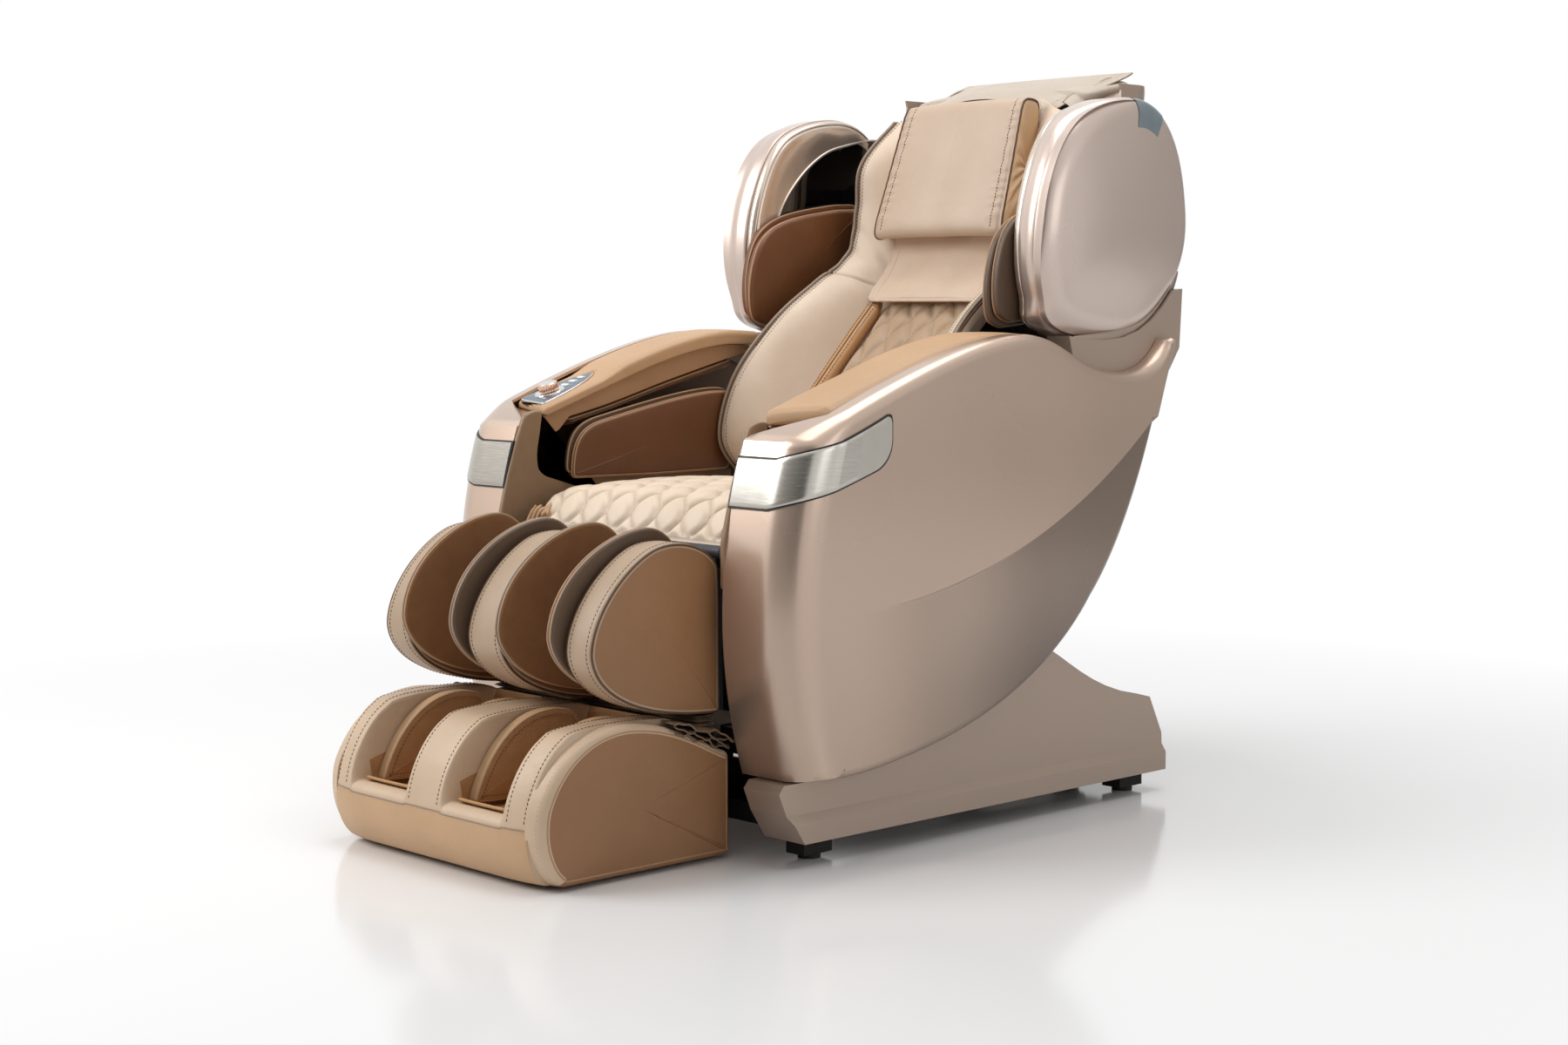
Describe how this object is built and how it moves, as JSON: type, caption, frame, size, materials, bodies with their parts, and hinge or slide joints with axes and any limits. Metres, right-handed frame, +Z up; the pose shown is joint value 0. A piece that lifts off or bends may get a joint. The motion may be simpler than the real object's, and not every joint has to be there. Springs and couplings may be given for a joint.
{
  "type": "massage chair",
  "caption": "Full body massage chair with tilting seat, reclining back, head pods, arm wells, lifting leg rest and extending foot rest.",
  "frame": {"origin": "middle of the chair's footprint on the floor", "axes": "+X towards the viewer's right facing the chair, -Y towards the front, +Z up"},
  "size_m": [0.825, 1.3776, 1.2166],
  "materials": {
    "shell": "satin metallic paint",
    "base_shell": "satin metallic paint",
    "frame_steel": "satin",
    "bright_metal": "brushed",
    "rubber": "matte",
    "black_plastic": "matte",
    "grey_plastic": "matte",
    "grey_metal": "satin",
    "red_plastic": "gloss",
    "liner": "matte",
    "ledge": "satin",
    "leather_light": "fine grain",
    "leather_caramel": "fine grain",
    "leather_brown": "fine grain",
    "textile": "ribbed",
    "console_metal": "satin",
    "knob_metal": "satin",
    "key_plastic": "gloss",
    "smoked_panel": "high gloss",
    "insert_paint": "satin metallic paint",
    "roller_plastic": "matte"
  },
  "bodies": {
    "base": {"base_cover": "base_shell", "base_frame": "frame_steel", "base_feet": "rubber", "control_box": "grey_plastic", "air_pump": "grey_metal", "recess_panel": "black_plastic", "inlet_plate": "black_plastic"},
    "switch": {"power_switch": "red_plastic"},
    "wheels": {"transport_wheels": "rubber"},
    "chassis": {"seat_frame": "frame_steel", "seat_pan": "black_plastic", "seat_apron": "black_plastic", "seat_cushion": "leather_light", "arm_shell_left": "shell", "arm_shell_right": "shell", "arm_trims": "bright_metal", "arm_liner_left": "liner", "arm_liner_right": "liner", "arm_ledges": "ledge", "armrest_left": "leather_caramel", "armrest_right": "leather_caramel", "arm_airbags": "leather_caramel", "hip_pads": "leather_brown", "console_plate": "console_metal"},
    "dial": {"console_dial": "knob_metal"},
    "key_1": {"console_key_1": "key_plastic"},
    "key_2": {"console_key_2": "key_plastic"},
    "key_3": {"console_key_3": "key_plastic"},
    "backrest": {"back_frame": "frame_steel", "back_shell": "base_shell", "back_cushion": "leather_light", "back_quilt": "leather_light", "back_bolsters": "leather_caramel", "head_cover": "leather_light", "pod_shell_left": "shell", "pod_shell_right": "shell", "pod_frame_left": "shell", "pod_frame_right": "shell", "pod_windows": "smoked_panel", "pod_inserts": "insert_paint", "neck_covers": "base_shell", "shoulder_bag_left": "leather_brown", "shoulder_bag_right": "leather_brown"},
    "pillow": {"pillow": "leather_light", "pillow_flap": "leather_light"},
    "carriage": {"massage_carriage": "grey_metal"},
    "roller_pair_upper": {"roller_upper": "roller_plastic"},
    "roller_pair_lower": {"roller_lower": "roller_plastic"},
    "legrest": {"leg_frame": "frame_steel", "calf_pad_left": "leather_caramel", "calf_pad_middle": "leather_caramel", "calf_pad_right": "leather_caramel", "calf_wings_left": "leather_brown", "calf_wings_right": "leather_brown", "foot_bellows": "leather_brown"},
    "footrest": {"foot_shell": "leather_caramel", "foot_side_pads": "leather_caramel", "foot_bags": "textile", "foot_soles": "textile"},
    "foot_roller_axle": {"foot_rollers": "roller_plastic"}
  },
  "joints": [
    {"name": "zero_g_tilt", "type": "hinge", "parent": "base", "child": "chassis", "pos_m": [0, 0.129, 0.395], "axis": [-1, 0, 0], "range_deg": [0, 25]},
    {"name": "recline", "type": "hinge", "parent": "chassis", "child": "backrest", "pos_m": [0, 0.299, 0.42], "axis": [-1, 0, 0], "range_deg": [0, 35]},
    {"name": "leg_raise", "type": "hinge", "parent": "chassis", "child": "legrest", "pos_m": [0, -0.325, 0.452], "axis": [-1, 0, 0], "range_deg": [0, 80]},
    {"name": "foot_extend", "type": "slide", "parent": "legrest", "child": "footrest", "axis": [0, 0, -1], "range_m": [0, 0.08], "deforming": ["foot_bellows"]},
    {"name": "foot_rollers_spin", "type": "hinge", "parent": "footrest", "child": "foot_roller_axle", "pos_m": [0, -0.546, 0.066], "axis": [1, 0, 0], "continuous": true},
    {"name": "carriage_travel", "type": "slide", "parent": "backrest", "child": "carriage", "axis": [0, 0.4226, 0.9063], "range_m": [0, 0.2]},
    {"name": "roller_upper_spin", "type": "hinge", "parent": "carriage", "child": "roller_pair_upper", "pos_m": [0, 0.45716, 0.79363], "axis": [1, 0, 0], "continuous": true},
    {"name": "roller_lower_spin", "type": "hinge", "parent": "carriage", "child": "roller_pair_lower", "pos_m": [0, 0.4149, 0.703], "axis": [1, 0, 0], "continuous": true},
    {"name": "pillow_flip", "type": "hinge", "parent": "backrest", "child": "pillow", "pos_m": [0, 0.501, 1.16], "axis": [-1, 0, 0], "range_deg": [0, 70]},
    {"name": "dial_turn", "type": "hinge", "parent": "chassis", "child": "dial", "pos_m": [-0.314, -0.199, 0.664], "axis": [0, -0.3338, 0.9426], "continuous": true},
    {"name": "key_1_press", "type": "slide", "parent": "chassis", "child": "key_1", "axis": [0, 0.3338, -0.9426], "range_m": [0, 0.0015], "stiffness_N_per_m": 400, "springref_m": -0.0005},
    {"name": "key_2_press", "type": "slide", "parent": "chassis", "child": "key_2", "axis": [0, 0.3338, -0.9426], "range_m": [0, 0.0015], "stiffness_N_per_m": 400, "springref_m": -0.0005},
    {"name": "key_3_press", "type": "slide", "parent": "chassis", "child": "key_3", "axis": [0, 0.3338, -0.9426], "range_m": [0, 0.0015], "stiffness_N_per_m": 400, "springref_m": -0.0005},
    {"name": "power_switch_rock", "type": "hinge", "parent": "base", "child": "switch", "pos_m": [-0.233, 0.543, 0.095], "axis": [1, 0, 0], "range_deg": [0, 16]},
    {"name": "transport_wheels_spin", "type": "hinge", "parent": "base", "child": "wheels", "pos_m": [0, 0.517, 0.035], "axis": [1, 0, 0], "continuous": true}
  ],
  "couplings": [
    {"joint": "foot_extend", "follows": "leg_raise", "m_per_rad": 0.055}
  ]
}
